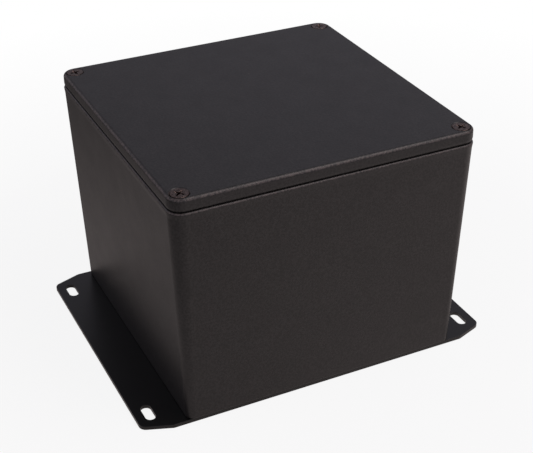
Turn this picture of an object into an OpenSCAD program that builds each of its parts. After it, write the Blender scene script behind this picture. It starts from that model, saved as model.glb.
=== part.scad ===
// Die-cast enclosure on a flange plate: a deep square box with a screwed lid, and under its
// floor a sheet plate whose two slotted ends stick out, to bolt the box to a panel.
// Millimetres. The origin is at the centre of the plate's underside and +Z is up. The slots
// run along X, and the slotted ends stick out along Y.

/* [Body casting] */
// Width of the box along X, over the lid's lower edge
box_w = 120; // [100:1:180]
// Depth of the box along Y, over the lid's lower edge
box_d = 120; // [100:1:140]
// Height of the body casting, from its underside to its rim
body_h = 90.15; // [60:0.05:110]
// Thickness of the walls at right angles to the side
wall = 2.4; // [2:0.1:3]
// Thickness of the floor
floor_t = 2.6; // [2:0.1:4]
// Draft of the walls, in degrees from upright
draft = 2.05; // [0.5:0.05:2.5]
// Radius of the walls' upright corners at the underside
foot_corner_r = 3; // [2.5:0.1:6]
// Radius of the outer round along the bottom edge
bottom_r = 2; // [1:0.1:2.5]
// Radius of the walls' upright corners inside
inside_corner_r = 4; // [3:0.1:8]
// Radius of the round between the walls and the floor inside
inside_r = 2; // [1:0.1:2]
// How far the walls' outer face stands out from the lid, just below the rim
ledge = 0.05; // [0:0.05:0.5]
// How far the rim flares out beyond the walls' outer face
rim_flare = 0.15; // [0.1:0.05:0.4]
// Height of the flared band below the rim
rim_band_h = 3; // [2:0.1:5]
// Radius of the rim's outer edge
rim_edge_r = 0.75; // [0.2:0.05:1]

/* [Lid] */
// Height of the lid's side, from the rim to its top
lid_h = 5; // [4.5:0.1:8]
// Thickness of the lid over its hollow underside
lid_t = 2.6; // [2:0.1:3]
// Radius of the lid's upright corners
lid_corner_r = 5.4; // [4:0.1:8]
// Draft of the lid's side, in degrees from upright
lid_draft = 0.4; // [0.1:0.1:2]
// Radius of the round along the lid's top edge
lid_edge_r = 1.4; // [0.8:0.1:2]
// Radius of the round along the lid's lower edge, which makes the seam a groove
lid_seam_r = 1.1; // [0.2:0.05:1.4]
// Depth of the tongue that reaches down inside the rim
tongue_h = 3; // [2:0.1:5]
// Thickness of the tongue
tongue_t = 1.6; // [1.2:0.1:2]
// Clearance between the tongue and the walls and bosses
tongue_gap = 0.35; // [0.2:0.05:0.5]

/* [Lid screws] */
// Distance from the lid's lower edge in to each screw's axis
screw_inset = 4.8; // [4.5:0.1:6]
// Diameter of the lid screws' thread
screw_d = 3.5; // [3:0.1:4]
// Length of the lid screws, with their heads
screw_l = 12.7; // [10:0.1:16]
// Diameter of the lid screws' countersunk heads
screw_head_d = 6.5; // [6.2:0.1:7]
// Height of the straight edge on the heads
screw_edge_h = 0.4; // [0.1:0.05:0.5]
// Half of the countersink's included angle, in degrees
sink_angle = 41; // [40:1:45]
// Depth of the heads below the lid's top
screw_sunk = 0.05; // [0:0.05:0.4]
// Width of the cross recess in the lid screws, from tip to tip
recess_d = 4; // [3.4:0.1:4.4]
// Width of each arm of the lid screws' recess
recess_w = 0.9; // [0.6:0.1:1.2]
// Depth of the lid screws' recess
recess_h = 1.9; // [1:0.1:2.1]
// Radius of the screw bosses at the rim
boss_r = 4.8; // [4.5:0.1:5.5]
// Draft of the bosses, in degrees from upright
boss_draft = 0.5; // [0:0.1:1]
// Depth of the tapped holes in the bosses
tap_depth = 14; // [12:0.5:20]
// Clearance round a screw's thread in its tapped hole
thread_gap = 0.05; // [0.02:0.01:0.1]
// Chamfer on the tips of the lid screws and of the plate screws
tip_chamfer = 0.4; // [0.2:0.1:0.6]
// Clearance round a screw's shank in its through hole
shank_gap = 0.25; // [0.15:0.05:0.4]

/* [Flange plate] */
// How far each slotted end of the plate sticks out beyond the lid's lower edge, along Y
flange_reach = 13.9; // [13:0.1:25]
// How far the plate's sides lie inside the lid's lower edge, along X
plate_inset = 3.55; // [0:0.05:6]
// Thickness of the plate
plate_t = 1.5; // [1.4:0.1:2.5]
// Radius of the plate's outer corners
plate_corner_r = 3; // [1:0.5:4]
// How far each slanted corner cuts into the plate's end edge, along X
slant_x = 4.2; // [3:0.1:6]
// How far each slanted corner reaches along the plate's side edge, along Y
slant_y = 11.6; // [8:0.1:14]
// Length of a slot from end to end
slot_l = 9; // [7:0.5:12]
// Width of a slot
slot_w = 4; // [3.5:0.1:5]
// Distance from the plate's side edge in to a slot's centre, along X
slot_side = 10.95; // [9.5:0.05:16]
// Distance from the plate's end edge in to a slot's centre, along Y
slot_end = 5.5; // [4:0.1:7]

/* [Plate screws and nuts] */
// Distance from the lid's lower edge in to a plate screw's axis, along X
fixing_inset_x = 22; // [12:0.5:40]
// Distance from the lid's lower edge in to a plate screw's axis, along Y
fixing_inset_y = 14; // [12:0.5:40]
// Diameter of the plate screws' thread
fixing_d = 3; // [2.5:0.1:3]
// Length of the plate screws, with their heads
fixing_l = 8; // [8:0.5:12]
// Diameter of the plate screws' countersunk heads
fixing_head_d = 5.6; // [5:0.1:5.8]
// Height of the straight edge on the plate screws' heads
fixing_edge_h = 0.1; // [0.05:0.05:0.2]
// Half of the plate screws' included head angle, in degrees
fixing_angle = 45; // [41:1:45]
// Width of the cross recess in the plate screws, from tip to tip
fixing_recess_d = 2.9; // [2.4:0.1:3.4]
// Width of each arm of the plate screws' recess
fixing_recess_w = 0.7; // [0.5:0.1:0.9]
// Depth of the plate screws' recess
fixing_recess_h = 1.2; // [0.8:0.1:1.4]
// Width of the nuts across their flats
nut_w = 5.5; // [5:0.1:7]
// Height of the nuts
nut_h = 2.4; // [2:0.1:3]
// How far the chamfer on the nuts' ends reaches in from their corners
nut_chamfer = 0.35; // [0.1:0.05:0.5]
// Slope of the chamfer on the nuts' ends, in degrees
nut_slope = 30; // [15:1:30]

/* [Hidden] */

// Faces on a whole turn of the rounded castings, and on a quarter turn of their edge rounds
casting_fn = 32;
round_steps = 5;
// Faces on a whole turn of bores, screws and slots
bore_fn = 64;
// How far a cut runs past the face that it opens
past = 1;

// Heights of the rim, where the lid sits, and of the lid's top
rim_z = plate_t + body_h;
top_z = rim_z + lid_h;
// Where the upright corners of the lid and of the body turn
corner_x = box_w / 2 - lid_corner_r;
corner_y = box_d / 2 - lid_corner_r;
// Half sizes of the body at its rim, outside and inside, and its outer corners' radius there
wall_x = box_w / 2 + ledge;
wall_y = box_d / 2 + ledge;
inner_x = wall_x - wall / cos(draft);
inner_y = wall_y - wall / cos(draft);
rim_r = lid_corner_r + ledge;
// Where the lid screws stand
screw_x = box_w / 2 - screw_inset;
screw_y = box_d / 2 - screw_inset;
// Half sizes of the plate, and where its slots and its screws stand
plate_x = box_w / 2 - plate_inset;
plate_y = box_d / 2 + flange_reach;
slot_x = plate_x - slot_side;
slot_y = plate_y - slot_end;
fixing_x = box_w / 2 - fixing_inset_x;
fixing_y = box_d / 2 - fixing_inset_y;
// Half sizes of the tongue's outside, and the radius that clears each boss
tongue_x = inner_x - tongue_gap;
tongue_y = inner_y - tongue_gap;
notch_r = boss_r + tongue_gap;

blacks = [[0.21, 0.2, 0.2], [0.22, 0.21, 0.21], [0.1, 0.1, 0.1]];
bronze = [0.32, 0.27, 0.25];
zinc = [0.7, 0.71, 0.72];

// Points on an arc round [x, y], from angle a to angle b
function arc(x, y, r, a, b, steps = round_steps) =
    [for (i = [0:steps]) let (t = a + (b - a) * i / steps) [x + r * cos(t), y + r * sin(t)]];

// How far in from the rim a drafted wall stands at height z
function drawn_in(z) = (body_h - z) * tan(draft);

// Centre of a round of radius e, at height z, that runs into a wall whose draft is a
function round_x(wall_x, e, a) = wall_x - e / cos(a) + e * tan(a);

// The corner arc where the straight edges p-q and q-s of an outline meet
function rounded(p, q, s, r) =
    let (
        u = (p - q) / norm(p - q), v = (s - q) / norm(s - q),
        half = acos(u * v) / 2,
        centre = q + (u + v) / norm(u + v) * r / sin(half),
        from = q + u * r / tan(half) - centre,
        a = atan2(from[1], from[0]),
        turn = (u[0] * v[1] - u[1] * v[0] < 0 ? 1 : -1) * (180 - 2 * half)
    )
    arc(centre[0], centre[1], r, a, a + turn);

module at_corners(x, y) {
    for (sx = [-1, 1], sy = [-1, 1])
        translate([sx * x, sy * y, 0]) children();
}

// A corner profile, turned about the four points at [x, y]
module turned_at(x, y, profile) {
    at_corners(x, y)
        rotate_extrude($fn = casting_fn) polygon(profile);
}

// The body's walls and floor as one solid, with drafted sides and a rounded bottom edge
module body_form() {
    foot = round_x(foot_corner_r, bottom_r, draft);
    low = body_h - rim_band_h;
    high = body_h - rim_edge_r;
    hull() {
        turned_at(
            wall_x - drawn_in(0) - foot_corner_r,
            wall_y - drawn_in(0) - foot_corner_r,
            concat([[0, 0]], arc(foot, bottom_r, bottom_r, -90, -draft), [[0, bottom_r]])
        );
        turned_at(
            corner_x,
            corner_y,
            [[0, low], [rim_r - drawn_in(low), low], [rim_r - drawn_in(high), high], [0, high]]
        );
    }
}

// The flared band round the rim, which starts inside the wall's outer face
module rim_band() {
    low = body_h - rim_band_h;
    out = rim_r + rim_flare;
    hull()
        turned_at(corner_x, corner_y, concat(
            [[0, low], [rim_r - drawn_in(low) - rim_flare, low]],
            arc(out - rim_edge_r, body_h - rim_edge_r, rim_edge_r, 0, 90),
            [[0, body_h]]
        ));
}

// The space inside the walls, with a round where they meet the floor
module hollow_form() {
    low = floor_t + inside_r;
    high = body_h + past;
    r = inside_corner_r;
    hull() {
        turned_at(
            inner_x - drawn_in(low) - r,
            inner_y - drawn_in(low) - r,
            concat([[0, floor_t]], arc(r - inside_r, low, inside_r, -90, 0), [[0, low]])
        );
        turned_at(
            inner_x - r,
            inner_y - r,
            [[0, body_h], [r, body_h], [r - drawn_in(high), high], [0, high]]
        );
    }
}

// The four upright bosses that take the lid screws
module bosses() {
    at_corners(screw_x, screw_y)
        cylinder(
            h = body_h + 2 * past,
            r1 = boss_r + body_h * tan(boss_draft),
            r2 = boss_r - 2 * past * tan(boss_draft),
            $fn = bore_fn
        );
}

module enclosure_body() {
    color(blacks[0])
        translate([0, 0, plate_t])
            difference() {
                union() {
                    body_form();
                    rim_band();
                }
                difference() {
                    hollow_form();
                    bosses();
                }
                at_corners(screw_x, screw_y)
                    translate([0, 0, body_h - tap_depth])
                        cylinder(h = tap_depth + past, d = screw_d + 2 * thread_gap, $fn = bore_fn);
                at_corners(fixing_x, fixing_y)
                    translate([0, 0, -past])
                        cylinder(h = floor_t + 2 * past, d = fixing_d + 2 * shank_gap, $fn = bore_fn);
            }
}

// The lid's outside, with a drafted side, a rounded top edge and a small round at the seam
module lid_form() {
    seam = round_x(lid_corner_r, lid_seam_r, 0);
    top_r = lid_corner_r - (lid_h - lid_edge_r) * tan(lid_draft);
    hull()
        turned_at(corner_x, corner_y, concat(
            [[0, 0]],
            arc(seam, lid_seam_r, lid_seam_r, -90, 0),
            arc(round_x(top_r, lid_edge_r, 0), lid_h - lid_edge_r, lid_edge_r, lid_draft, 90),
            [[0, lid_h]]
        ));
}

// The tongue's outline, drawn in by `inset`: a square that runs round the four bosses
module tongue_outline(inset) {
    difference() {
        square([2 * (tongue_x - inset), 2 * (tongue_y - inset)], center = true);
        at_corners(screw_x, screw_y) circle(r = notch_r + inset, $fn = bore_fn);
    }
}

// The screw's hole through the lid: a countersink above a plain shank hole
module lid_hole() {
    head_r = screw_head_d / 2;
    shank_r = screw_d / 2;
    edge_z = lid_h - screw_sunk - screw_edge_h;
    neck_z = edge_z - (head_r - shank_r - shank_gap) / tan(sink_angle);
    mouth_z = lid_h + past;
    translate([0, 0, -past])
        cylinder(h = mouth_z + past, r = shank_r + shank_gap, $fn = bore_fn);
    translate([0, 0, neck_z])
        cylinder(
            h = mouth_z - neck_z,
            r1 = shank_r + shank_gap,
            r2 = head_r + (mouth_z - edge_z) * tan(sink_angle),
            $fn = bore_fn
        );
}

module lid() {
    color(blacks[1])
        translate([0, 0, rim_z])
            difference() {
                union() {
                    lid_form();
                    translate([0, 0, -tongue_h])
                        linear_extrude(height = tongue_h + lid_h - lid_t) tongue_outline(0);
                }
                translate([0, 0, -tongue_h - past])
                    linear_extrude(height = tongue_h + past + lid_h - lid_t) tongue_outline(tongue_t);
                at_corners(screw_x, screw_y) lid_hole();
            }
}

// A countersunk screw with a cross recess, its head's flat face at z = 0 and its tip below
module countersunk_screw(d, length, head_d, edge_h, angle, cross_d, cross_w, cross_h) {
    head_r = head_d / 2;
    neck_z = edge_h + (head_r - d / 2) / tan(angle);
    flare = (cross_d - cross_w) / 2 / cross_h;
    difference() {
        rotate_extrude($fn = bore_fn)
            polygon([
                [0, 0], [head_r, 0], [head_r, -edge_h], [d / 2, -neck_z],
                [d / 2, tip_chamfer - length], [d / 2 - tip_chamfer, -length], [0, -length]
            ]);
        intersection() {
            translate([0, 0, -cross_h])
                cylinder(h = cross_h + past, r1 = cross_w / 2, r2 = cross_d / 2 + past * flare, $fn = bore_fn);
            for (turn = [0, 90])
                rotate(turn)
                    cube([head_d, cross_w, 2 * (cross_h + past)], center = true);
        }
    }
}

module lid_screws() {
    color(bronze)
        at_corners(screw_x, screw_y)
            translate([0, 0, top_z - screw_sunk])
                countersunk_screw(
                    screw_d, screw_l, screw_head_d, screw_edge_h, sink_angle,
                    recess_d, recess_w, recess_h
                );
}

// The plate's outline: a rectangle whose four corners are slanted off and rounded
module plate_outline() {
    quarter = [[plate_x, plate_y - slant_y], [plate_x - slant_x, plate_y]];
    ring = concat(
        quarter,
        [for (i = [1, 0]) [-quarter[i][0], quarter[i][1]]],
        [for (i = [0, 1]) -quarter[i]],
        [for (i = [1, 0]) [quarter[i][0], -quarter[i][1]]]
    );
    count = len(ring);
    polygon([
        for (i = [0:count - 1])
            each rounded(ring[(i + count - 1) % count], ring[i], ring[(i + 1) % count], plate_corner_r)
    ]);
}

// A slot that runs along X, right through the plate
module slot() {
    run = slot_l - slot_w;
    translate([0, 0, plate_t / 2]) {
        cube([run, slot_w, plate_t + 2 * past], center = true);
        for (side = [-1, 1])
            translate([side * run / 2, 0, 0])
                cylinder(h = plate_t + 2 * past, d = slot_w, center = true, $fn = bore_fn);
    }
}

// A plate screw's hole, countersunk from below
module plate_hole() {
    head_r = fixing_head_d / 2;
    reach = (head_r - fixing_d / 2 - shank_gap) / tan(fixing_angle);
    translate([0, 0, -past])
        cylinder(h = plate_t + 2 * past, d = fixing_d + 2 * shank_gap, $fn = bore_fn);
    translate([0, 0, -past])
        cylinder(
            h = past + fixing_edge_h + reach,
            r1 = head_r + (past + fixing_edge_h) * tan(fixing_angle),
            r2 = fixing_d / 2 + shank_gap,
            $fn = bore_fn
        );
}

module flange_plate() {
    color(blacks[2])
        difference() {
            linear_extrude(height = plate_t) plate_outline();
            at_corners(slot_x, slot_y) slot();
            at_corners(fixing_x, fixing_y) plate_hole();
        }
}

module plate_screws() {
    color(zinc)
        at_corners(fixing_x, fixing_y)
            rotate([180, 0, 0])
                countersunk_screw(
                    fixing_d, fixing_l, fixing_head_d, fixing_edge_h, fixing_angle,
                    fixing_recess_d, fixing_recess_w, fixing_recess_h
                );
}

// A hexagon nut whose corners are chamfered at both ends
module nut() {
    corner_r = nut_w / 2 / cos(30);
    edge_h = nut_chamfer * tan(nut_slope);
    difference() {
        intersection() {
            cylinder(h = nut_h, r = corner_r, $fn = 6);
            rotate_extrude($fn = bore_fn)
                polygon([
                    [0, 0], [corner_r - nut_chamfer, 0], [corner_r, edge_h],
                    [corner_r, nut_h - edge_h], [corner_r - nut_chamfer, nut_h], [0, nut_h]
                ]);
        }
        translate([0, 0, -past])
            cylinder(h = nut_h + 2 * past, d = fixing_d + 2 * thread_gap, $fn = bore_fn);
    }
}

module plate_nuts() {
    color(zinc)
        at_corners(fixing_x, fixing_y)
            translate([0, 0, plate_t + floor_t]) nut();
}

enclosure_body();
lid();
lid_screws();
flange_plate();
plate_screws();
plate_nuts();
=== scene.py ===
"""Die-cast enclosure on a flange plate: the looks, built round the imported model.

Sizes in the classes are in millimetres, in the model's own frame: the origin is under the
middle of the flange plate, Z is up and the slots run along X. Meshes are made in metres.
"""

import logging
import math
from dataclasses import dataclass
from enum import Enum

import bmesh
import bpy
from mathutils import Matrix, Vector


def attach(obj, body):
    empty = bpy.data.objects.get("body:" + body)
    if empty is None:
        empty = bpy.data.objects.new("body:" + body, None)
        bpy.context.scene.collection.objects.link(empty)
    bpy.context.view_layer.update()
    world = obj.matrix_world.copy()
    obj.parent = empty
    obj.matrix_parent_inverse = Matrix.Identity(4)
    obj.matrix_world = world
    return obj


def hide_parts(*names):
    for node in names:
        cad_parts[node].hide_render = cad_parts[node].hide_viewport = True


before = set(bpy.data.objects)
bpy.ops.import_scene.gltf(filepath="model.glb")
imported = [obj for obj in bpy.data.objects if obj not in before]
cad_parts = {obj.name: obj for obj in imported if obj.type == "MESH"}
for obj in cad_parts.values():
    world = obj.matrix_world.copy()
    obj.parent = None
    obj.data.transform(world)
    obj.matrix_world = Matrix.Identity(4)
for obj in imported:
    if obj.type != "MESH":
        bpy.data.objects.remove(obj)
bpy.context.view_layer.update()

MM = 0.001
BODY = "root"
log = logging.getLogger("enclosure")

Point = tuple[float, float]
Colour = tuple[float, float, float]
Ring = tuple[list[Point], float]


class Axis(Enum):
    """The way a piece's axis points when it leaves the part."""

    UP = 1
    DOWN = -1


def arc(x: float, y: float, radius: float, start: float, end: float, steps: int) -> list[Point]:
    """Points along an arc.

    Args:
        x: The centre's first coordinate.
        y: The centre's second coordinate.
        radius: The arc's radius.
        start: The first point's angle, in degrees.
        end: The last point's angle, in degrees.
        steps: The number of stretches between the first and the last point.

    Returns:
        The points, steps + 1 of them.
    """
    turns = [math.radians(start + (end - start) * i / steps) for i in range(steps + 1)]
    return [(x + radius * math.cos(t), y + radius * math.sin(t)) for t in turns]


def whole(quarter: list[Point]) -> list[Point]:
    """A closed outline that is the same in all four quarters.

    Args:
        quarter: The points of the +X +Y quarter, anticlockwise.

    Returns:
        The whole outline, anticlockwise.
    """
    second = [(-x, y) for x, y in reversed(quarter)]
    third = [(-x, -y) for x, y in quarter]
    fourth = [(x, -y) for x, y in reversed(quarter)]
    return [*quarter, *second, *third, *fourth]


def circle(radius: float, steps: int) -> list[Point]:
    """Points round a circle about the origin, anticlockwise."""
    return arc(0, 0, radius, 0, 360, steps)[:-1]


def loft(mesh: bmesh.types.BMesh, rings: list[Ring], closed_ends: bool = True) -> None:
    """Spans faces between outlines that have as many points each.

    Args:
        mesh: The mesh that takes the faces.
        rings: Each outline with its height, in millimetres, in order along the surface.
        closed_ends: Whether the first and the last outline are filled.
    """
    rows = [[mesh.verts.new((x * MM, y * MM, z * MM)) for x, y in points] for points, z in rings]
    count = len(rows[0])
    for low, high in zip(rows, rows[1:]):
        for i in range(count):
            j = (i + 1) % count
            mesh.faces.new((low[i], low[j], high[j], high[i]))
    if closed_ends:
        mesh.faces.new(list(reversed(rows[0])))
        mesh.faces.new(rows[-1])


def new_object(name: str, mesh: bmesh.types.BMesh) -> bpy.types.Object:
    """Turns a mesh under construction into an object in the scene.

    Args:
        name: The object's name.
        mesh: The mesh, which is freed.

    Returns:
        The new object, at the origin.
    """
    bmesh.ops.recalc_face_normals(mesh, faces=mesh.faces)
    data = bpy.data.meshes.new(name)
    mesh.to_mesh(data)
    mesh.free()
    made = bpy.data.objects.new(name, data)
    bpy.context.scene.collection.objects.link(made)
    return made


def settle(piece: bpy.types.Object) -> None:
    """Applies a piece's modifiers to its mesh."""
    graph = bpy.context.evaluated_depsgraph_get()
    settled = bpy.data.meshes.new_from_object(piece.evaluated_get(graph))
    piece.modifiers.clear()
    old = piece.data
    piece.data = settled
    bpy.data.meshes.remove(old)


def cut(piece: bpy.types.Object, tool: bmesh.types.BMesh) -> None:
    """Cuts a form out of a piece.

    Args:
        piece: The piece that loses the form.
        tool: The form, closed, which is used up.
    """
    cutter = new_object("cutter", tool)
    step = piece.modifiers.new("cut", "BOOLEAN")
    step.operation = "DIFFERENCE"
    step.solver = "EXACT"
    step.object = cutter
    settle(piece)
    bpy.data.objects.remove(cutter)


def soften_edges(piece: bpy.types.Object, width_mm: float, steps: int, limit_deg: float) -> None:
    """Rounds a piece's sharp edges, as paint does.

    Args:
        piece: The piece.
        width_mm: The width of the round.
        steps: The number of faces across it.
        limit_deg: The least angle between the faces at an edge that is rounded.
    """
    step = piece.modifiers.new("soft edges", "BEVEL")
    step.width = width_mm * MM
    step.segments = steps
    step.limit_method = "ANGLE"
    step.angle_limit = math.radians(limit_deg)
    step.use_clamp_overlap = True
    step.harden_normals = False
    settle(piece)


def shade(piece: bpy.types.Object, limit_deg: float = 32.0) -> None:
    """Shades a piece smooth between its sharp edges, with flat faces kept flat.

    Args:
        piece: The piece.
        limit_deg: The least angle between the faces at a sharp edge.
    """
    mesh = bmesh.new()
    mesh.from_mesh(piece.data)
    for face in mesh.faces:
        face.smooth = True
    for edge in mesh.edges:
        edge.smooth = edge.calc_face_angle(0.0) < math.radians(limit_deg)
    mesh.to_mesh(piece.data)
    mesh.free()
    weighted = piece.modifiers.new("flat faces stay flat", "WEIGHTED_NORMAL")
    weighted.mode = "FACE_AREA"
    weighted.weight = 50
    weighted.keep_sharp = True


class Nodes:
    """A node tree, with short ways to add and join nodes."""

    def __init__(self, name: str) -> None:
        """Makes an empty node material.

        Args:
            name: The material's name.
        """
        self.material = bpy.data.materials.new(name)
        self.material.use_nodes = True
        self.empty(self.material.node_tree, "ShaderNodeOutputMaterial")

    @classmethod
    def of_tree(cls, tree: bpy.types.NodeTree, output: str) -> "Nodes":
        """Takes a tree that already exists, such as the surround's, and empties it.

        Args:
            tree: The tree.
            output: The type of its output node.

        Returns:
            The tree, ready for nodes.
        """
        made = cls.__new__(cls)
        made.material = None
        made.empty(tree, output)
        return made

    def empty(self, tree: bpy.types.NodeTree, output: str) -> None:
        """Empties a tree and gives it its output node."""
        self.tree = tree
        self.tree.nodes.clear()
        self.out = self.tree.nodes.new(output)

    def add(self, kind: str, **settings: object) -> bpy.types.Node:
        """Adds a node.

        Args:
            kind: The node type's name after ShaderNode.
            settings: The node's own properties.

        Returns:
            The node.
        """
        made = self.tree.nodes.new("ShaderNode" + kind)
        for key, value in settings.items():
            setattr(made, key, value)
        return made

    def join(self, source: bpy.types.NodeSocket, target: bpy.types.NodeSocket) -> None:
        """Links one socket to another."""
        self.tree.links.new(source, target)

    def place(self) -> bpy.types.NodeSocket:
        """The surface point in the part's own frame, in metres."""
        return self.add("TexCoord").outputs["Object"]

    def noise(self, size_mm: float, detail: float, roughness: float = 0.5) -> bpy.types.NodeSocket:
        """A noise whose lumps have a real size.

        Args:
            size_mm: The size of a lump, in millimetres.
            detail: The number of finer layers.
            roughness: How much the finer layers count.

        Returns:
            The noise's value socket, from 0 to 1.
        """
        made = self.add("TexNoise")
        made.inputs["Scale"].default_value = 1 / (size_mm * MM)
        made.inputs["Detail"].default_value = detail
        made.inputs["Roughness"].default_value = roughness
        self.join(self.place(), made.inputs["Vector"])
        return made.outputs["Fac"]

    def spread(self, value: bpy.types.NodeSocket, low: float, high: float,
               to_low: float, to_high: float) -> bpy.types.NodeSocket:
        """Maps one range of a value to another, clamped.

        Args:
            value: The value's socket.
            low: The lower end of its range.
            high: The upper end of its range.
            to_low: What the lower end becomes.
            to_high: What the upper end becomes.

        Returns:
            The mapped value's socket.
        """
        made = self.add("MapRange")
        made.inputs["From Min"].default_value = low
        made.inputs["From Max"].default_value = high
        made.inputs["To Min"].default_value = to_low
        made.inputs["To Max"].default_value = to_high
        self.join(value, made.inputs["Value"])
        return made.outputs["Result"]

    def blend(self, factor: bpy.types.NodeSocket, first: Colour | bpy.types.NodeSocket,
              second: Colour) -> bpy.types.NodeSocket:
        """Mixes two colours.

        Args:
            factor: How much of the second colour shows, from 0 to 1.
            first: A colour, or a colour's socket.
            second: The other colour.

        Returns:
            The mixed colour's socket.
        """
        made = self.add("Mix", data_type="RGBA")
        self.join(factor, made.inputs["Factor"])
        if isinstance(first, tuple):
            made.inputs[6].default_value = (*first, 1.0)
        else:
            self.join(first, made.inputs[6])
        made.inputs[7].default_value = (*second, 1.0)
        return made.outputs[2]

    def bump(self, height: bpy.types.NodeSocket, depth_mm: float,
             under: bpy.types.NodeSocket | None = None) -> bpy.types.NodeSocket:
        """Adds relief to the surface normal.

        Args:
            height: The relief's height, from 0 to 1.
            depth_mm: The real depth that a height of 1 stands for.
            under: A normal that already has relief, if any.

        Returns:
            The normal's socket.
        """
        made = self.add("Bump")
        made.inputs["Strength"].default_value = 1.0
        made.inputs["Distance"].default_value = depth_mm * MM
        self.join(height, made.inputs["Height"])
        if under is not None:
            self.join(under, made.inputs["Normal"])
        return made.outputs["Normal"]


@dataclass(frozen=True)
class TexturedCoat:
    """The castings' black powder coat: pebbled, with a few specks of dust, and broken lighter lines
    along the upper edges that are painted highlights, partly worn coat.
    """

    name: str = "textured_black_coat"
    low: Colour = (0.0036, 0.0030, 0.0029)
    high: Colour = (0.0146, 0.0127, 0.0122)
    dust: Colour = (0.10, 0.075, 0.07)
    # Colour and heights of the lighter lines at the rim under the seam and on the lid's top edge: a
    # painted highlight, partly worn coat.
    painted_highlight_and_wear: Colour = (0.075, 0.056, 0.050)
    painted_highlight_bands_mm: tuple[tuple[float, float], ...] = ((90.5, 91.15), (95.5, 96.55))
    cloud_mm: float = 9.0
    pebble_mm: float = 0.8
    grain_mm: float = 0.35
    speck_mm: float = 11.0
    speck_edge: tuple[float, float] = (0.014, 0.026)
    speck_choice: tuple[float, float] = (0.55, 0.7)
    speck_strength: float = 0.6
    pebble_depth_mm: float = 0.032
    grain_depth_mm: float = 0.009
    roughness: float = 0.43
    roughness_swing: float = 0.015
    specular: float = 0.45

    def material(self) -> bpy.types.Material:
        """Makes the material."""
        nodes = Nodes(self.name)
        skin = nodes.add("BsdfPrincipled")
        pebbles = nodes.noise(self.pebble_mm, 2.0, 0.55)
        grain = nodes.noise(self.grain_mm, 1.0)
        clouds = nodes.noise(self.cloud_mm, 3.0, 0.6)
        tone = nodes.blend(nodes.spread(pebbles, 0.39, 0.61, 0.0, 1.0), self.low, self.high)
        tone = nodes.blend(nodes.spread(clouds, 0.35, 0.75, 0.0, 0.35), tone, self.low)
        specks = nodes.add("TexVoronoi", feature="F1")
        specks.inputs["Scale"].default_value = 1 / (self.speck_mm * MM)
        nodes.join(nodes.place(), specks.inputs["Vector"])
        spot = nodes.spread(specks.outputs["Distance"], *self.speck_edge, 1.0, 0.0)
        lot = nodes.add("SeparateColor")
        nodes.join(specks.outputs["Color"], lot.inputs["Color"])
        chosen = nodes.spread(
            lot.outputs["Red"], *self.speck_choice, 0.0, self.speck_strength
        )
        rare = nodes.add("Math", operation="MULTIPLY")
        nodes.join(spot, rare.inputs[0])
        nodes.join(chosen, rare.inputs[1])
        tone = nodes.blend(rare.outputs[0], tone, self.dust)
        # Painted highlights, partly edge wear: broken lighter lines at the rim under the seam and
        # along the lid's top edge.
        tone = nodes.blend(self.painted_highlight_lines(nodes, pebbles), tone, self.painted_highlight_and_wear)
        nodes.join(tone, skin.inputs["Base Color"])
        gloss = nodes.spread(
            clouds, 0.3, 0.7, self.roughness - self.roughness_swing,
            self.roughness + self.roughness_swing,
        )
        nodes.join(gloss, skin.inputs["Roughness"])
        skin.inputs["Specular IOR Level"].default_value = self.specular
        relief = nodes.bump(pebbles, self.pebble_depth_mm)
        relief = nodes.bump(grain, self.grain_depth_mm, relief)
        nodes.join(relief, skin.inputs["Normal"])
        nodes.join(skin.outputs["BSDF"], nodes.out.inputs["Surface"])
        return nodes.material

    def painted_highlight_lines(self, nodes: Nodes, pebbles: bpy.types.NodeSocket) -> bpy.types.NodeSocket:
        """Painted highlight lines, partly edge wear: broken lighter lines along the castings' upper
        edges, just under the rim's top and on the lid's top edge.

        Args:
            nodes: The material's nodes.
            pebbles: The coat's pebbled skin, which breaks the painted highlight lines up.

        Returns:
            How much of the painted highlight, partly wear, shows, from 0 to 1.
        """
        height = nodes.add("SeparateXYZ")
        nodes.join(nodes.place(), height.inputs[0])
        lines = []
        for low, high in self.painted_highlight_bands_mm:
            off = nodes.add("Math", operation="SUBTRACT")
            nodes.join(height.outputs["Z"], off.inputs[0])
            off.inputs[1].default_value = (low + high) / 2 * MM
            apart = nodes.add("Math", operation="ABSOLUTE")
            nodes.join(off.outputs[0], apart.inputs[0])
            reach = (high - low) / 2 * MM
            lines.append(nodes.spread(apart.outputs[0], reach * 0.5, reach, 1.0, 0.0))
        both = nodes.add("Math", operation="ADD")
        nodes.join(lines[0], both.inputs[0])
        nodes.join(lines[1], both.inputs[1])
        broken = nodes.spread(pebbles, 0.38, 0.6, 0.15, 0.9)
        painted_highlight_and_wear = nodes.add("Math", operation="MULTIPLY")
        nodes.join(both.outputs[0], painted_highlight_and_wear.inputs[0])
        nodes.join(broken, painted_highlight_and_wear.inputs[1])
        return painted_highlight_and_wear.outputs[0]


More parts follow.
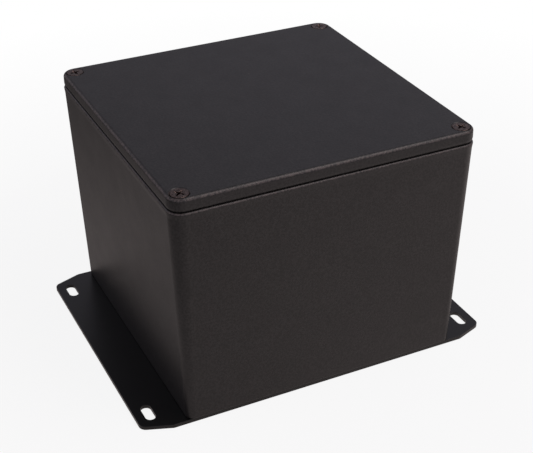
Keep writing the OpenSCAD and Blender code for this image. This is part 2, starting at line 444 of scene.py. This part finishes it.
@dataclass(frozen=True)
class SheetPaint:
    """The flange plate's smooth satin black paint, with a faint ripple."""

    name: str = "smooth_black_paint"
    low: Colour = (0.0015, 0.0015, 0.0013)
    high: Colour = (0.0028, 0.0027, 0.0024)
    ripple_mm: float = 3.2
    grain_mm: float = 0.3
    ripple_depth_mm: float = 0.006
    grain_depth_mm: float = 0.0015
    roughness: float = 0.34
    roughness_swing: float = 0.04
    specular: float = 0.45

    def material(self) -> bpy.types.Material:
        """Makes the material."""
        nodes = Nodes(self.name)
        skin = nodes.add("BsdfPrincipled")
        ripple = nodes.noise(self.ripple_mm, 2.0)
        grain = nodes.noise(self.grain_mm, 1.0)
        tone = nodes.blend(nodes.spread(ripple, 0.3, 0.7, 0.0, 1.0), self.low, self.high)
        nodes.join(tone, skin.inputs["Base Color"])
        gloss = nodes.spread(
            grain, 0.2, 0.8, self.roughness - self.roughness_swing,
            self.roughness + self.roughness_swing,
        )
        nodes.join(gloss, skin.inputs["Roughness"])
        skin.inputs["Specular IOR Level"].default_value = self.specular
        relief = nodes.bump(ripple, self.ripple_depth_mm)
        relief = nodes.bump(grain, self.grain_depth_mm, relief)
        nodes.join(relief, skin.inputs["Normal"])
        nodes.join(skin.outputs["BSDF"], nodes.out.inputs["Surface"])
        return nodes.material


@dataclass(frozen=True)
class ScrewMetal:
    """A fastener's plated steel, with a mottled tone and fine scratches."""

    name: str
    low: Colour
    high: Colour
    roughness: float = 0.38
    mottle_mm: float = 0.7
    scratch_mm: float = 0.12
    scratch_depth_mm: float = 0.004

    def material(self) -> bpy.types.Material:
        """Makes the material."""
        nodes = Nodes(self.name)
        skin = nodes.add("BsdfPrincipled")
        mottle = nodes.noise(self.mottle_mm, 4.0, 0.65)
        scratch = nodes.noise(self.scratch_mm, 2.0)
        tone = nodes.blend(nodes.spread(mottle, 0.35, 0.65, 0.0, 1.0), self.low, self.high)
        nodes.join(tone, skin.inputs["Base Color"])
        skin.inputs["Metallic"].default_value = 1.0
        gloss = nodes.spread(mottle, 0.3, 0.7, self.roughness + 0.12, self.roughness - 0.08)
        nodes.join(gloss, skin.inputs["Roughness"])
        relief = nodes.bump(scratch, self.scratch_depth_mm)
        nodes.join(relief, skin.inputs["Normal"])
        nodes.join(skin.outputs["BSDF"], nodes.out.inputs["Surface"])
        return nodes.material


@dataclass
class BoxForm:
    """The plan that both castings share: a square with rounded corners and four lid screws."""

    corner: float = 54.6
    screw: float = 55.2
    corner_steps: int = 14

    def square(self, half: float, radius: float) -> list[Point]:
        """A square outline with rounded corners.

        Args:
            half: Half of its width.
            radius: The corners' radius.

        Returns:
            The outline.
        """
        return whole(arc(half - radius, half - radius, radius, 0, 90, self.corner_steps))

    def turned(self, radius: float) -> list[Point]:
        """The outline whose corners turn about the lid's own corner points."""
        return self.square(self.corner + radius, radius)

    def notched(self, half: float, notch: float) -> list[Point]:
        """A square outline that runs round the four lid screws, on their inner side.

        Args:
            half: Half of its width.
            notch: The radius of the run round each screw.

        Returns:
            The outline, with as many points as any square() has.
        """
        lean = math.degrees(math.acos((half - self.screw) / notch))
        return whole(arc(self.screw, self.screw, notch, -lean, lean - 270, self.corner_steps))

    def at_screws(self) -> list[Point]:
        """Where the four lid screws stand, starting at +X +Y and going anticlockwise."""
        return whole([(self.screw, self.screw)])


@dataclass
class BodyCasting:
    """The box: drafted walls, a rounded foot, a flared rim and four screw bosses inside."""

    form: BoxForm
    coat: bpy.types.Material
    foot_z: float = 1.5
    height: float = 89.7
    rim_radius: float = 5.45
    foot_radius: float = 3.0
    draft: float = math.tan(math.radians(2.05))
    foot_round: float = 0.6
    rim_flare: float = 0.15
    rim_band: float = 3.0
    rim_round: float = 0.75
    wall: float = 2.4
    floor: float = 2.6
    inside_round: float = 2.0
    boss_radius: float = 4.8
    boss_draft: float = math.tan(math.radians(0.5))
    tap_radius: float = 1.8
    tap_depth: float = 14.0
    fixing_x: float = 38.0
    fixing_y: float = 46.0
    fixing_radius: float = 1.75

    def half(self, z: float) -> float:
        """Half of the walls' outer width at a height above the foot, without the rim's flare."""
        return self.form.corner + self.rim_radius - (self.height - z) * self.draft

    def outside(self) -> list[Ring]:
        """The outer skin, from the underside up to the rim's flat."""
        band = self.height - self.rim_band
        band_radius = self.rim_radius - self.rim_band * self.draft
        rings = []
        for inset, z in arc(0, self.foot_round, self.foot_round, -90, 0, 8):
            drawn = self.foot_round - inset
            rings.append((self.form.square(self.half(z) - drawn, self.foot_radius - drawn), z))
        for i in range(1, 6):
            z = self.foot_round + (band - self.foot_round) * i / 5
            radius = self.foot_radius + (band_radius - self.foot_radius) * z / band
            rings.append((self.form.square(self.half(z), radius), z))
        steps = 8
        top = self.height - self.rim_round
        for i in range(1, steps):
            share = i / steps
            z = band + (top - band) * share
            flare = self.rim_flare * share * share * (3 - 2 * share)
            rings.append((self.form.turned(self.half(z) - self.form.corner + flare), z))
        edge = self.rim_radius + self.rim_flare - self.rim_round
        rings += [
            (self.form.turned(r), z) for r, z in arc(edge, top, self.rim_round, 0, 90, 8)
        ]
        return rings

    def inside(self) -> list[Ring]:
        """The inner skin, from the rim's inner edge down to the floor."""
        low = self.floor + self.inside_round
        rings = []
        for z in (self.height, self.height - 0.4, self.height / 2, low):
            boss = self.boss_radius + (self.height - z) * self.boss_draft
            rings.append((self.form.notched(self.half(z) - self.wall, boss), z))
        boss = self.boss_radius + (self.height - low) * self.boss_draft
        for x, z in arc(0, low, self.inside_round, 0, -90, 6)[1:]:
            drawn = self.inside_round - x
            rings.append((self.form.notched(self.half(low) - self.wall - drawn, boss + drawn), z))
        return rings

    def holes(self) -> bmesh.types.BMesh:
        """The tapped holes in the bosses and the screw holes in the floor, as one cutter."""
        tool = bmesh.new()
        for x, y in self.form.at_screws():
            ring = [(x + u, y + v) for u, v in circle(self.tap_radius, 24)]
            mouth = [(x + u, y + v) for u, v in circle(self.tap_radius + 0.4, 24)]
            loft(tool, [
                (ring, self.height - self.tap_depth), (ring, self.height - 0.4),
                (mouth, self.height), (mouth, self.height + 1),
            ])
        for x, y in whole([(self.fixing_x, self.fixing_y)]):
            ring = [(x + u, y + v) for u, v in circle(self.fixing_radius, 24)]
            loft(tool, [(ring, -1.0), (ring, self.floor + 1)])
        return tool

    def build(self) -> bpy.types.Object:
        """Makes the body casting in place of the plain solid.

        Returns:
            The finished piece.
        """
        mesh = bmesh.new()
        loft(mesh, self.outside() + self.inside())
        piece = new_object("body_casting", mesh)
        cut(piece, self.holes())
        piece.data.transform(Matrix.Translation((0, 0, self.foot_z * MM)))
        shade(piece)
        piece.data.materials.clear()
        piece.data.materials.append(self.coat)
        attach(piece, BODY)
        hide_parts("enclosure_body")
        return piece


@dataclass
class LidCasting:
    """The lid: a shallow cap with a rounded top edge, sunk screw holes and a tongue below."""

    form: BoxForm
    coat: bpy.types.Material
    seam_z: float = 91.2
    height: float = 5.45
    thickness: float = 2.6
    radius: float = 5.4
    draft: float = math.tan(math.radians(0.4))
    edge_round: float = 1.4
    seam_round: float = 1.1
    seam_rise: float = 1.8
    tongue_depth: float = 3.0
    tongue_wall: float = 1.6
    tongue_half: float = 57.3
    notch: float = 5.15
    hole_radius: float = 2.0
    head_radius: float = 3.42
    head_edge: float = 0.4
    head_sunk: float = 0.05
    sink_slope: float = math.tan(math.radians(41))
    sink_edge: float = 0.1

    def skin(self) -> list[Ring]:
        """The whole surface, from the top over the side and round the tongue to the ceiling."""
        top_radius = self.radius - (self.height - self.edge_round) * self.draft
        turn = top_radius - self.edge_round
        rings = [
            (self.form.turned(r), z)
            for r, z in arc(turn, self.height - self.edge_round, self.edge_round, 90, 0, 10)
        ]
        seam = self.radius - self.seam_round
        rings += [
            (self.form.turned(r), z * self.seam_rise / self.seam_round)
            for r, z in arc(seam, self.seam_round, self.seam_round, 0, -90, 8)
        ]
        inner_half = self.tongue_half - self.tongue_wall
        inner_notch = self.notch + self.tongue_wall
        tip = 0.3
        rings += [
            (self.form.notched(self.tongue_half, self.notch), 0.0),
            (self.form.notched(self.tongue_half, self.notch), tip - self.tongue_depth),
            (self.form.notched(self.tongue_half - tip, self.notch + tip), -self.tongue_depth),
            (self.form.notched(inner_half, inner_notch), -self.tongue_depth),
            (self.form.notched(inner_half, inner_notch), self.height - self.thickness),
        ]
        return rings

    def holes(self) -> bmesh.types.BMesh:
        """The four countersunk screw holes, as one cutter."""
        tool = bmesh.new()
        edge = self.height - self.head_sunk - self.head_edge
        neck = edge - (self.head_radius - self.hole_radius) / self.sink_slope
        mouth = self.height + 1
        wide = self.head_radius + (mouth - edge) * self.sink_slope
        for x, y in self.form.at_screws():
            loft(tool, [
                ([(x + u, y + v) for u, v in circle(radius, 48)], z)
                for radius, z in (
                    (self.hole_radius, -1.0), (self.hole_radius, neck), (wide, mouth)
                )
            ])
        return tool

    def build(self) -> bpy.types.Object:
        """Makes the lid casting in place of the plain solid.

        Returns:
            The finished piece.
        """
        mesh = bmesh.new()
        loft(mesh, self.skin())
        piece = new_object("lid_casting", mesh)
        cut(piece, self.holes())
        soften_edges(piece, self.sink_edge, 2, 40)
        piece.data.transform(Matrix.Translation((0, 0, self.seam_z * MM)))
        shade(piece)
        piece.data.materials.clear()
        piece.data.materials.append(self.coat)
        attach(piece, BODY)
        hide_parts("lid")
        return piece


@dataclass
class CrossScrew:
    """A countersunk machine screw with a cross recess and a rolled thread."""

    metal: bpy.types.Material
    diameter: float = 3.5
    length: float = 12.7
    head_diameter: float = 6.5
    head_edge: float = 0.4
    slope: float = math.tan(math.radians(41))
    pitch: float = 0.794
    thread_depth: float = 0.3
    turn_steps: int = 48
    rim_round: float = 0.2
    recess_width: float = 4.0
    recess_arm: float = 0.9
    recess_depth: float = 1.9

    def head_rings(self) -> list[Ring]:
        """The head, from its flat face down to the neck, with a softened rim."""
        top = self.head_diameter / 2
        neck = self.head_edge + (top - self.diameter / 2) / self.slope
        profile = arc(top - self.rim_round, -self.rim_round, self.rim_round, 90, 0, 4)
        profile += [(top, -self.head_edge), (self.diameter / 2 + 0.05, -neck + 0.05)]
        profile += [(self.diameter / 2 - self.thread_depth / 2, -neck - 0.15)]
        return [(circle(r, self.turn_steps), z) for r, z in profile]

    def thread_rings(self) -> list[Ring]:
        """The threaded shank, from the neck down to the chamfered tip."""
        neck = self.head_edge + (self.head_diameter - self.diameter) / 2 / self.slope
        start = neck + 0.25
        root = self.diameter / 2 - self.thread_depth
        rise = self.pitch / 8
        count = int((self.length - start) / rise)
        rings = []
        for row in range(count + 1):
            depth = start + row * rise
            fade = min(1.0, row * rise / self.pitch, (self.length - depth) / (0.6 * self.pitch))
            points = []
            for i in range(self.turn_steps):
                phase = (depth / self.pitch + i / self.turn_steps) % 1.0
                ridge = max(0.0, 1 - abs(2 * phase - 1) * 1.25)
                radius = root + self.thread_depth * min(1.0, ridge * 1.3) * max(fade, 0.0)
                turn = 2 * math.pi * i / self.turn_steps
                points.append((radius * math.cos(turn), radius * math.sin(turn)))
            rings.append((points, -depth))
        rings.append((circle(root - 0.15, self.turn_steps), -self.length))
        return rings

    def recess(self) -> bmesh.types.BMesh:
        """The cross recess, as a cutter that narrows and tapers on its way down."""
        tool = bmesh.new()
        half_length = self.recess_width / 2
        half_width = self.recess_arm / 2
        depth = self.recess_depth
        levels = (
            (0.5, 1.5, 2.2), (0.03, 1.06, 1.2), (-0.12, 0.96, 0.9), (-0.55 * depth, 0.78, 0.8),
            (-0.9 * depth, 0.5, 0.7), (-depth, 0.3, 0.5),
        )
        rings = []
        for z, long_share, wide_share in levels:
            reach = half_length * long_share
            wide = half_width * wide_share
            hub = wide * 1.5
            tip = wide * 0.45
            quarter = [
                (reach, tip), (reach - tip, wide), (hub, wide), (wide * 1.2, wide * 1.2),
                (wide, hub), (wide, reach - tip), (tip, reach),
            ]
            rings.append((whole(quarter), z))
        loft(tool, rings)
        return tool

    def build(self, name: str, top: Vector, turn_deg: float, axis: Axis) -> bpy.types.Object:
        """Makes one screw.

        Args:
            name: The piece's name.
            top: The middle of the head's flat face, in millimetres.
            turn_deg: How far the recess is turned about the screw's axis.
            axis: The way the head faces.

        Returns:
            The screw, in place.
        """
        mesh = bmesh.new()
        loft(mesh, self.head_rings() + self.thread_rings())
        piece = new_object(name, mesh)
        cut(piece, self.recess())
        turn = Matrix.Rotation(math.radians(turn_deg), 4, "Z")
        if axis is Axis.DOWN:
            turn = Matrix.Rotation(math.pi, 4, "X") @ turn
        piece.data.transform(Matrix.Translation(top * MM) @ turn)
        shade(piece, 38)
        piece.data.materials.clear()
        piece.data.materials.append(self.metal)
        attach(piece, BODY)
        return piece


@dataclass
class LidScrews:
    """The four screws that hold the lid, each stopped at its own angle."""

    form: BoxForm
    screw: CrossScrew
    top_z: float = 96.6
    turns_deg: tuple[float, ...] = (22.0, 64.0, 8.0, 37.0)
    names: tuple[str, ...] = (
        "lid_screw_right", "lid_screw_far", "lid_screw_left", "lid_screw_near",
    )

    def build(self) -> list[bpy.types.Object]:
        """Makes the four screws in place of the plain ones.

        Returns:
            The screws.
        """
        made = []
        for name, (x, y), turn in zip(self.names, self.form.at_screws(), self.turns_deg):
            piece = self.screw.build(name, Vector((x, y, self.top_z)), turn, Axis.UP)
            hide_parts("lid_screws")
            made.append(piece)
        return made


@dataclass
class FlangePlate:
    """The sheet plate under the box, with slanted corners and a slot near each of them."""

    paint: bpy.types.Material
    half_x: float = 56.45
    half_y: float = 73.9
    thickness: float = 1.5
    slant_x: float = 4.2
    slant_y: float = 11.6
    corner_round: float = 3.0
    slot_x: float = 45.5
    slot_y: float = 68.4
    slot_length: float = 9.0
    slot_width: float = 4.0
    fixing_x: float = 38.0
    fixing_y: float = 46.0
    fixing_hole: float = 1.75
    fixing_sink: float = 2.8
    edge_round: float = 0.22
    round_steps: int = 10

    def rounded(self, before: Vector, corner: Vector, after: Vector) -> list[Point]:
        """The arc that rounds one corner of the outline.

        Args:
            before: The corner before it.
            corner: The corner.
            after: The corner after it.

        Returns:
            The arc's points, in the outline's order.
        """
        back = (before - corner).normalized()
        on = (after - corner).normalized()
        half = back.angle(on) / 2
        centre = corner + (back + on).normalized() * self.corner_round / math.sin(half)
        first = corner + back * self.corner_round / math.tan(half) - centre
        start = math.degrees(math.atan2(first.y, first.x))
        return arc(
            centre.x, centre.y, self.corner_round, start, start + 180 - 2 * math.degrees(half),
            self.round_steps,
        )

    def outline(self) -> list[Point]:
        """The plate's outline, anticlockwise."""
        corners = [Vector(p) for p in whole([
            (self.half_x, self.half_y - self.slant_y), (self.half_x - self.slant_x, self.half_y),
        ])]
        count = len(corners)
        points = []
        for i, corner in enumerate(corners):
            points += self.rounded(corners[i - 1], corner, corners[(i + 1) % count])
        return points

    def holes(self) -> bmesh.types.BMesh:
        """The slots, and the countersunk holes for the plate screws, as one cutter."""
        tool = bmesh.new()
        radius = self.slot_width / 2
        run = self.slot_length / 2 - radius
        slot = arc(run, 0, radius, -90, 90, 16) + arc(-run, 0, radius, 90, 270, 16)
        for x, y in whole([(self.slot_x, self.slot_y)]):
            ring = [(x + u, y + v) for u, v in slot]
            loft(tool, [(ring, -1.0), (ring, self.thickness + 1)])
        for x, y in whole([(self.fixing_x, self.fixing_y)]):
            narrow = [(x + u, y + v) for u, v in circle(self.fixing_hole, 32)]
            wide = [(x + u, y + v) for u, v in circle(self.fixing_sink + 1.1, 32)]
            loft(tool, [
                (wide, -1.0), (narrow, self.fixing_sink - self.fixing_hole + 0.1),
                (narrow, self.thickness + 1),
            ])
        return tool

    def build(self) -> bpy.types.Object:
        """Makes the plate in place of the plain solid.

        Returns:
            The finished piece.
        """
        mesh = bmesh.new()
        outline = self.outline()
        loft(mesh, [(outline, 0.0), (outline, self.thickness)])
        piece = new_object("plate_sheet", mesh)
        cut(piece, self.holes())
        soften_edges(piece, self.edge_round, 3, 50)
        shade(piece, 38)
        piece.data.materials.clear()
        piece.data.materials.append(self.paint)
        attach(piece, BODY)
        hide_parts("flange_plate")
        return piece


@dataclass
class PlateFasteners:
    """The plate's own screws and nuts, which keep their solids and take a zinc finish."""

    metal: bpy.types.Material
    nodes: tuple[str, ...] = ("plate_screws", "plate_nuts")

    def build(self) -> list[bpy.types.Object]:
        """Dresses the fasteners.

        Returns:
            The dressed pieces.
        """
        made = []
        for name in self.nodes:
            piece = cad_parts[name]
            piece.data.materials.clear()
            piece.data.materials.append(self.metal)
            made.append(piece)
        return made


@dataclass
class Camera:
    """The camera, at the photograph's viewing angle."""

    frame_width_px: float = 533.0
    focal_px: float = 1211.83
    place: tuple[float, float, float] = (382.429, -179.039, 291.703)
    azimuth_deg: float = 64.424
    elevation_deg: float = 30.894
    roll_deg: float = -0.480
    shift_px: tuple[float, float] = (-2.75, 0.80)

    def build(self) -> bpy.types.Object:
        """Makes the scene's camera.

        Returns:
            The camera.
        """
        azimuth, elevation = math.radians(self.azimuth_deg), math.radians(self.elevation_deg)
        roll = math.radians(self.roll_deg)
        ahead = Vector((
            -math.sin(azimuth) * math.cos(elevation),
            math.cos(azimuth) * math.cos(elevation),
            -math.sin(elevation),
        ))
        level = Vector((math.cos(azimuth), math.sin(azimuth), 0.0))
        upright = level.cross(ahead)
        right = level * math.cos(roll) + upright * math.sin(roll)
        up = upright * math.cos(roll) - level * math.sin(roll)
        lens = bpy.data.cameras.new("camera")
        lens.sensor_fit = "HORIZONTAL"
        lens.lens = self.focal_px / self.frame_width_px * lens.sensor_width
        lens.shift_x = self.shift_px[0] / self.frame_width_px
        lens.shift_y = self.shift_px[1] / self.frame_width_px
        lens.clip_start, lens.clip_end = 0.01, 50.0
        made = bpy.data.objects.new("camera", lens)
        bpy.context.scene.collection.objects.link(made)
        turn = Matrix((right, up, -ahead)).transposed().to_4x4()
        made.matrix_world = Matrix.Translation(Vector(self.place) * MM) @ turn
        bpy.context.scene.camera = made
        return made


@dataclass(frozen=True)
class Softbox:
    """One soft studio lamp."""

    name: str
    place: tuple[float, float, float]
    aim: tuple[float, float, float]
    size: tuple[float, float]
    watts: float
    colour: Colour = (1.0, 1.0, 1.0)

    def build(self) -> bpy.types.Object:
        """Makes the lamp, in metres.

        Returns:
            The lamp.
        """
        lamp = bpy.data.lights.new(self.name, "AREA")
        lamp.shape = "RECTANGLE"
        lamp.size, lamp.size_y = self.size
        lamp.energy = self.watts
        lamp.color = self.colour
        made = bpy.data.objects.new(self.name, lamp)
        bpy.context.scene.collection.objects.link(made)
        made.location = self.place
        made.rotation_mode = "QUATERNION"
        ahead = Vector(self.aim) - Vector(self.place)
        made.rotation_quaternion = ahead.to_track_quat("-Z", "Y")
        return made


@dataclass(frozen=True)
class SkyGlow:
    """One soft, pale part of the studio round the object."""

    azimuth_deg: float
    elevation_deg: float
    half_width_deg: float
    level: float

    def toward(self) -> Vector:
        """The direction of its middle, where azimuth 0 is +X."""
        azimuth, elevation = math.radians(self.azimuth_deg), math.radians(self.elevation_deg)
        level = math.cos(elevation)
        return Vector((math.cos(azimuth) * level, math.sin(azimuth) * level, math.sin(elevation)))


@dataclass
class Studio:
    """A white floor in a pale studio, lit by soft glows and two warm softboxes."""

    floor_half: float = 4.0
    floor_drop_mm: float = 0.05
    floor_colour: Colour = (0.8, 0.8, 0.8)
    white_near: float = 0.88
    white_reach_mm: tuple[float, float] = (150.0, 350.0)
    pool_radii_mm: tuple[float, ...] = (0, 90, 125, 165, 220, 320, 600)
    pool_bright_side: tuple[float, ...] = (0.67, 0.67, 0.70, 0.72, 0.88, 0.65, 0.35)
    pool_dark_side: tuple[float, ...] = (0.40, 0.40, 0.39, 0.30, 0.20, 0.12, 0.12)
    pool_tint: Colour = (1.0, 0.88, 0.86)
    pool_bright_way: tuple[float, float, float] = (0.5, 0.866, 0.0)
    ambient: float = 0.305
    sky_tint: Colour = (0.92, 0.885, 1.0)
    sky: tuple[SkyGlow, ...] = (
        SkyGlow(0, 5, 45, 0.325),
        SkyGlow(45, 5, 45, 0.252),
        SkyGlow(135, 5, 45, 0.140),
        SkyGlow(225, 5, 45, 0.285),
        SkyGlow(270, 5, 45, 0.273),
        SkyGlow(315, 5, 45, 0.284),
        SkyGlow(0, 45, 38, 0.136),
        SkyGlow(60, 45, 38, 0.074),
        SkyGlow(120, 45, 38, 0.070),
        SkyGlow(240, 45, 38, 0.103),
        SkyGlow(300, 45, 38, 0.145),
    )
    lamps: tuple[Softbox, ...] = (
        Softbox(
            "key_softbox", (0.65, 0.52, 1.0), (0.0, 0.0, 0.05), (0.6, 0.6), 3.9,
            (1.0, 0.92, 0.90),
        ),
        Softbox(
            "top_softbox", (0.22, 0.56, 1.16), (0.0, 0.0, 0.05), (0.6, 0.6), 1.6,
            (1.0, 0.96, 0.95),
        ),
    )

    def pool(self, nodes: Nodes, radius: bpy.types.NodeSocket,
             levels: tuple[float, ...]) -> bpy.types.NodeSocket:
        """A painted glow that stands in for the lit floor: its level by distance from the part,
        seen only by mirrored rays.

        Args:
            nodes: The floor's nodes.
            radius: The distance's socket, in metres.
            levels: The level at each of the pool's radii.

        Returns:
            The level's socket.
        """
        ramp = nodes.add("ValToRGB")
        stops = ramp.color_ramp.elements
        stops.remove(stops[1])
        last = self.pool_radii_mm[-1]
        for i, (distance, level) in enumerate(zip(self.pool_radii_mm, levels)):
            stop = stops[0] if i == 0 else stops.new(distance / last)
            stop.position = distance / last
            stop.color = (level, level, level, 1.0)
        nodes.join(nodes.spread(radius, 0.0, last * MM, 0.0, 1.0), ramp.inputs["Fac"])
        return ramp.outputs["Color"]

    def floor(self) -> bpy.types.Object:
        """Makes the floor, which is white where it is seen and keeps a soft shadow."""
        mesh = bmesh.new()
        side = self.floor_half
        corners = [(side, side), (-side, side), (-side, -side), (side, -side)]
        mesh.faces.new([mesh.verts.new((x, y, -self.floor_drop_mm * MM)) for x, y in corners])
        piece = new_object("floor", mesh)
        nodes = Nodes("white_floor")
        rays = nodes.add("LightPath")
        matte = nodes.add("BsdfDiffuse")
        matte.inputs["Color"].default_value = (*self.floor_colour, 1.0)
        radius = nodes.add("VectorMath", operation="LENGTH")
        nodes.join(nodes.place(), radius.inputs[0])
        outward = nodes.add("VectorMath", operation="NORMALIZE")
        nodes.join(nodes.place(), outward.inputs[0])
        lean = nodes.add("VectorMath", operation="DOT_PRODUCT")
        nodes.join(outward.outputs["Vector"], lean.inputs[0])
        lean.inputs[1].default_value = self.pool_bright_way
        bright = nodes.spread(lean.outputs["Value"], -1.0, 1.0, 0.0, 1.0)
        pool = nodes.add("Mix", data_type="RGBA")
        nodes.join(bright, pool.inputs["Factor"])
        nodes.join(self.pool(nodes, radius.outputs["Value"], self.pool_dark_side), pool.inputs[6])
        nodes.join(self.pool(nodes, radius.outputs["Value"], self.pool_bright_side), pool.inputs[7])
        tinted = nodes.add("Mix", data_type="RGBA", blend_type="MULTIPLY")
        tinted.inputs["Factor"].default_value = 1.0
        nodes.join(pool.outputs[2], tinted.inputs[6])
        tinted.inputs[7].default_value = (*self.pool_tint, 1.0)
        # Painted reflection: this glow, brighter near the part and on one side, stands in for a lit
        # floor and is seen only by mirrored rays.
        lit = nodes.add("Emission")
        nodes.join(tinted.outputs[2], lit.inputs["Color"])
        mirrored = nodes.add("MixShader")
        nodes.join(rays.outputs["Is Glossy Ray"], mirrored.inputs["Fac"])
        nodes.join(matte.outputs[0], mirrored.inputs[1])
        nodes.join(lit.outputs[0], mirrored.inputs[2])
        white = nodes.add("Emission")
        white.inputs["Color"].default_value = (1.0, 1.0, 1.0, 1.0)
        share = nodes.add("Math", operation="MULTIPLY")
        nodes.join(rays.outputs["Is Camera Ray"], share.inputs[0])
        near, far = (reach * MM for reach in self.white_reach_mm)
        whiter = nodes.spread(radius.outputs["Value"], near, far, self.white_near, 1.0)
        nodes.join(whiter, share.inputs[1])
        seen = nodes.add("MixShader")
        nodes.join(share.outputs[0], seen.inputs["Fac"])
        nodes.join(mirrored.outputs[0], seen.inputs[1])
        nodes.join(white.outputs[0], seen.inputs[2])
        nodes.join(seen.outputs[0], nodes.out.inputs["Surface"])
        piece.data.materials.append(nodes.material)
        return piece

    def surround(self) -> bpy.types.World:
        """Makes the studio round the object, which is white where it is seen."""
        world = bpy.data.worlds.new("surround")
        world.use_nodes = True
        nodes = Nodes.of_tree(world.node_tree, "ShaderNodeOutputWorld")
        way = nodes.add("TexCoord").outputs["Generated"]
        level = None
        for glow in self.sky:
            lean = nodes.add("VectorMath", operation="DOT_PRODUCT")
            nodes.join(way, lean.inputs[0])
            lean.inputs[1].default_value = glow.toward()
            edge = nodes.add("MapRange", interpolation_type="SMOOTHSTEP")
            edge.inputs["From Min"].default_value = math.cos(math.radians(glow.half_width_deg))
            edge.inputs["From Max"].default_value = 1.0
            edge.inputs["To Max"].default_value = glow.level
            nodes.join(lean.outputs["Value"], edge.inputs["Value"])
            total = nodes.add("Math", operation="ADD")
            nodes.join(edge.outputs["Result"], total.inputs[0])
            if level is None:
                total.inputs[1].default_value = self.ambient
            else:
                nodes.join(level, total.inputs[1])
            level = total.outputs[0]
        lit = nodes.add("Background")
        lit.inputs["Color"].default_value = (*self.sky_tint, 1.0)
        nodes.join(level, lit.inputs["Strength"])
        white = nodes.add("Background")
        white.inputs["Color"].default_value = (1.0, 1.0, 1.0, 1.0)
        mix = nodes.add("MixShader")
        nodes.join(nodes.add("LightPath").outputs["Is Camera Ray"], mix.inputs["Fac"])
        nodes.join(lit.outputs[0], mix.inputs[1])
        nodes.join(white.outputs[0], mix.inputs[2])
        nodes.join(mix.outputs[0], nodes.out.inputs["Surface"])
        bpy.context.scene.world = world
        return world

    def build(self) -> None:
        """Makes the floor, the surround and the lamps."""
        self.floor()
        self.surround()
        for lamp in self.lamps:
            lamp.build()
        bpy.context.scene.view_settings.view_transform = "Standard"


def report(pieces: list[bpy.types.Object]) -> None:
    """Logs each piece's name and face count.

    Args:
        pieces: The finished pieces.
    """
    for piece in pieces:
        log.info("%s: %d faces", piece.name, len(piece.data.polygons))


def main() -> None:
    """Builds the part's pieces in order, then the studio round them."""
    logging.basicConfig(level=logging.INFO, format="%(name)s: %(message)s")
    Camera().build()
    form = BoxForm()
    coat = TexturedCoat().material()
    bronze = ScrewMetal(
        "dark_bronze_steel", (0.02, 0.014, 0.012), (0.19, 0.138, 0.122), 0.28, 0.45
    ).material()
    zinc = ScrewMetal("zinc_plated_steel", (0.42, 0.43, 0.44), (0.62, 0.63, 0.64), 0.3).material()
    pieces = [
        BodyCasting(form, coat).build(),
        LidCasting(form, coat).build(),
        *LidScrews(form, CrossScrew(bronze)).build(),
        FlangePlate(SheetPaint().material()).build(),
        *PlateFasteners(zinc).build(),
    ]
    report(pieces)
    Studio().build()


if __name__ == "__main__":
    main()
